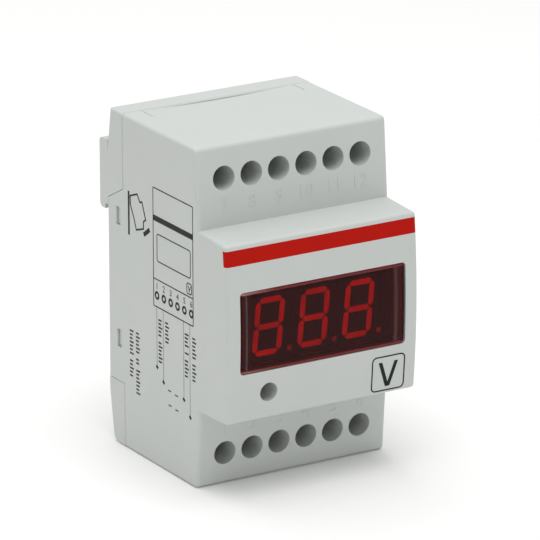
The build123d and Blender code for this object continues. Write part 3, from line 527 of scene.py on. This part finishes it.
# Wiring sign on the left side, in (distance ahead of the rail plane, height) mm. It has one ring and one
# number for each lower terminal.
terminals = 6
wiring = {
    "side": -26.25, "thin": 0.28, "hair": 0.09,
    "frame": ((21.6, -1.65), (40.13, 27.8)), "frameRadius": 0.2, "frameCount": 3,
    "band": {"height": 20.35, "line": 1.4}, "rowLine": 5.2,
    "display": ((23.35, 9.85), (38.95, 16.65)), "displayRadius": 0.6,
    "unitBox": ((37.25, 5.9), (39.45, 8.45)), "unitRadius": 0.5,
    "letter": [(37.8, 7.9), (38.4, 6.6), (39.0, 7.9)], "letterLine": 0.25,
    "rings": {"first": 23.2, "last": 39.25, "height": 1.2, "radius": 0.78, "line": 0.58},
    "numberHeight": 1.55, "numbersAt": 3.6,
    "rail": {"path": [(10.0, 12.75), (10.0, 23.7)], "line": 0.75},
    "device": [(10.7, 22.7), (14.1, 23.95), (15.35, 22.25), (16.35, 22.6), (18.05, 18.6), (17.0, 17.85),
               (16.95, 16.05), (13.55, 14.9), (12.5, 17.45), (10.85, 20.4)],
    "deviceLine": 0.42,
    "driver": {"path": [(17.1, 14.65), (19.9, 16.65)], "line": 1.1},
    "leads": [(23.0, -16.85), (26.0, -19.85), (35.6, -21.3), (38.5, -24.9)],
    "leadEnd": {"half": (0.4, 0.3), "line": 0.8},
    "lines": [(10.55, -11.3, (7, 5)), (13.55, -11.2, (6, 2, 7)), (24.4, -4.7, (5, 6)), (27.6, -4.5, (6,)),
              (36.8, -4.6, (4, 1, 5)), (40.3, -4.7, (6, 5))],
    "tick": {"pitch": 0.95, "line": 0.42, "start": -0.65, "lengths": (1.3, 1.8, 1.3, 1.3, 1.8, 1.5)},
    "marks": [(28.8, -21.15), (32.05, -21.4), (29.0, -24.8), (32.2, -25.05)],
    "mark": {"half": 0.7, "line": 0.3},
}
(frameLeft, frameLow), (frameRight, _) = wiring["frame"]
band, rings, tick, mark = (wiring[key] for key in ("band", "rings", "tick", "mark"))
sideParts = [
    inkLine(roundedPath(*wiring["frame"], wiring["frameRadius"], wiring["frameCount"]), wiring["thin"], True),
    inkLine([(frameLeft, band["height"]), (frameRight, band["height"])], band["line"]),
    inkLine(roundedPath(*wiring["display"], wiring["displayRadius"]), wiring["thin"], True),
    inkLine([(frameLeft, wiring["rowLine"]), (frameRight, wiring["rowLine"])], wiring["thin"]),
    inkLine(roundedPath(*wiring["unitBox"], wiring["unitRadius"]), wiring["thin"], True),
    inkLine(wiring["letter"], wiring["letterLine"]),
    inkLine(wiring["rail"]["path"], wiring["rail"]["line"]),
    inkLine(wiring["device"], wiring["deviceLine"], True),
    inkLine(wiring["driver"]["path"], wiring["driver"]["line"]),
]
for number, place in enumerate(np.linspace(rings["first"], rings["last"], terminals), 1):
    sideParts.append(inkLine(circlePath((place, rings["height"]), rings["radius"]), rings["line"], True))
    sign = signMesh(str(number), wiring["numberHeight"], inkHeight)
    sideParts.append(shifted(sign, place, wiring["numbersAt"]))
endX, endZ = wiring["leadEnd"]["half"]
for place, height in wiring["leads"]:
    endPath = [(place - endX, height + endZ), (place + endX, height - endZ)]
    sideParts.append(inkLine(endPath, wiring["leadEnd"]["line"]))
    sideParts.append(inkLine([(place, height), (place, frameLow)], wiring["hair"]))
# Lines of plain ticks, in groups, running down the side
for place, height, groups in wiring["lines"]:
    start = place + tick["start"]
    for group in groups:
        for i in range(group):
            length = tick["lengths"][(i + group) % len(tick["lengths"])]
            sideParts.append(inkLine([(start, height), (start + length, height)], tick["line"]))
            height -= tick["pitch"]
        height -= tick["pitch"]
for place, height in wiring["marks"]:
    sideParts.append(inkLine([(place - mark["half"], height), (place + mark["half"], height)], mark["line"]))
addPiece("wiring_sign", onPlane(joined(sideParts), (wiring["side"], 0, 0), (0, -1, 0), (0, 0, 1)),
         inkGrey, "case")

# Moulded numbers beside the screw holes, standing a little proud of the shoulders, which lean from the root
# at the nose to their outer end: y = rootY + lean * (z - rootZ)
numbers = {"pitch": 7.5, "height": 3.3, "thick": 0.09, "root": (-42.75, 22.55),
           "rows": [{"first": 7, "at": 27.8, "end": (-41.2, 42.15)},
                    {"first": 1, "at": -27.65, "end": (-41.2, -42.1)}]}
columns = numbers["pitch"] * (np.arange(terminals) - (terminals - 1) / 2)
numberParts = []
for row in numbers["rows"]:
    rootY, rootZ = numbers["root"][0], math.copysign(numbers["root"][1], row["at"])
    lean = (row["end"][0] - rootY) / (row["end"][1] - rootZ)
    signs = [shifted(signMesh(str(row["first"] + i), numbers["height"], numbers["thick"]), x, 0)
             for i, x in enumerate(columns)]
    origin = (0, rootY + lean * (row["at"] - rootZ), row["at"])
    numberParts.append(onPlane(joined(signs), origin, (1, 0, 0), (0, lean, 1)))
addPiece("moulded_numbers", joined(numberParts), caseGrey, "case")
print("signs made")


# Clip spring: a round wire carried to and fro along runs joined by half circles
spring = {"wire": 0.7, "runs": 6, "width": 6.8, "length": 9.1, "foot": -33.1, "depth": -1.1, "keep": 0.56,
          "sides": 14, "turnPoints": 13}


def springPath(s):  # runs along X at rising heights; each turn is a half circle between two runs
    pitch = (s["length"] - s["wire"]) / (s["runs"] - 1)
    half = (s["width"] - s["wire"] - pitch) / 2
    base = s["foot"] + s["wire"] / 2
    a = np.linspace(-np.pi / 2, np.pi / 2, s["turnPoints"])
    runs = np.arange(s["runs"] - 1)
    turn = np.where(runs % 2 == 0, 1, -1)[:, None]
    x = turn * (half + pitch / 2 * np.cos(a))
    z = base + pitch * (runs[:, None] + 0.5) + pitch / 2 * np.sin(a)
    ends = np.array([[-half, base], [half if s["runs"] % 2 else -half, base + pitch * (s["runs"] - 1)]])
    return np.vstack([ends[:1], np.stack([x.ravel(), z.ravel()], 1), ends[1:]])


def wireTube(path, radius, sides, depth):  # a circle round each path point, across the path's direction
    tangent = np.gradient(path, axis=0)
    tangent /= np.linalg.norm(tangent, axis=1, keepdims=True)
    a = np.linspace(0, 2 * np.pi, sides, endpoint=False)
    normal = np.stack([-tangent[:, 1], tangent[:, 0]], 1)
    x = path[:, :1] + radius * np.cos(a) * normal[:, :1]
    z = path[:, 1:] + radius * np.cos(a) * normal[:, 1:]
    y = depth + radius * np.sin(a) * np.ones_like(path[:, :1])
    i, j = np.meshgrid(np.arange(len(path) - 1), np.arange(sides), indexing="ij")
    here, ahead, n = sides * i, sides * (i + 1), (j + 1) % sides
    faces = np.stack([here + j, here + n, ahead + n, ahead + j], -1).reshape(-1, 4)
    caps = [list(range(sides)), list(range(sides * (len(path) - 1), sides * len(path)))[::-1]]
    return np.stack([x, y, z], -1).reshape(-1, 3) * mm, faces.tolist() + caps


wire = wireTube(springPath(spring), spring["wire"] / 2, spring["sides"], spring["depth"])
clipSpring = addPiece("clip_spring_wire", wire, finishes["spring_steel"], "case", smooth=True)
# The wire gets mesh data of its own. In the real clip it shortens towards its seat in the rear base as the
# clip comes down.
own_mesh(clipSpring)
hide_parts("clip_spring")
print("spring made")


# Stage: a pale floor of matt paper, soft light, and the camera at the photograph's angle
floorLook = {"colour": "#f9f9f8", "second": "#f6f6f5", "cloudMm": 400, "grainMm": 3, "rough": (0.8, 0.9),
             "bump": 0.0, "deepMm": 0.01}
stage = {"radius": 4.0, "height": -42.1, "count": 96, "sky": 0.6}
around = np.linspace(0, 2 * np.pi, stage["count"], endpoint=False)
floorEdge = np.stack([np.cos(around), np.sin(around), np.zeros(stage["count"])], 1) * stage["radius"]
floorMesh = bpy.data.meshes.new("floor")
floorMesh.from_pydata((floorEdge + [0, 0, stage["height"] * mm]).tolist(), [], [list(range(stage["count"]))])
floorMesh.materials.append(moulded("pale_paper", floorLook))
floor = bpy.data.objects.new("floor", floorMesh)
bpy.context.scene.collection.objects.link(floor)

world = bpy.data.worlds.new("sky")
bpy.context.scene.world = world
world.use_nodes = True
background = world.node_tree.nodes["Background"]
background.inputs["Color"].default_value = (1, 1, 1, 1)
background.inputs["Strength"].default_value = stage["sky"]

# Two broad lights overhead, a weaker one towards the rear and a stronger one ahead of the object
lamps = {"rear": {"power": 2.65, "size": 0.9, "place": (-0.05, 0.4, 1.0)},
         "front": {"power": 5.6, "size": 0.9, "place": (-0.05, -0.25, 1.0)}}
for name, lamp in lamps.items():
    lampData = bpy.data.lights.new(name, "AREA")
    lampData.shape, lampData.size, lampData.energy = "DISK", lamp["size"], lamp["power"]
    light = bpy.data.objects.new(name, lampData)
    light.location = lamp["place"]
    light.rotation_mode = "QUATERNION"
    light.rotation_quaternion = (-light.location).to_track_quat("-Z", "Y")
    bpy.context.scene.collection.objects.link(light)

# Camera: angles in degrees, place in mm, focal length and frame in pixels, sensor in mm, clip in metres
photoCamera = {"azimuth": 31.135, "elevation": 18.344, "roll": -0.0855,
               "place": (-631.41, -1076.85, 410.31), "focal": 5399.4, "frame": 540, "sensor": 36.0,
               "clip": (0.01, 20.0)}
az, el, roll = (math.radians(photoCamera[k]) for k in ("azimuth", "elevation", "roll"))
forward = np.array([math.sin(az) * math.cos(el), math.cos(az) * math.cos(el), -math.sin(el)])
level = np.array([math.cos(az), -math.sin(az), 0.0])
upright = np.cross(level, forward)
across = math.cos(roll) * level + math.sin(roll) * upright
above = math.cos(roll) * upright - math.sin(roll) * level
cameraData = bpy.data.cameras.new("camera")
cameraData.sensor_width = photoCamera["sensor"]
cameraData.lens = photoCamera["focal"] / photoCamera["frame"] * photoCamera["sensor"]
cameraData.clip_start, cameraData.clip_end = photoCamera["clip"]
camera = bpy.data.objects.new("camera", cameraData)
bpy.context.scene.collection.objects.link(camera)
pose = np.eye(4)
pose[:3, :3] = np.stack([across, above, -forward], 1)
pose[:3, 3] = np.array(photoCamera["place"]) * mm
camera.matrix_world = pose.T.tolist()
bpy.context.scene.camera = camera
bpy.context.scene.view_settings.view_transform = "Standard"
print("stage made")
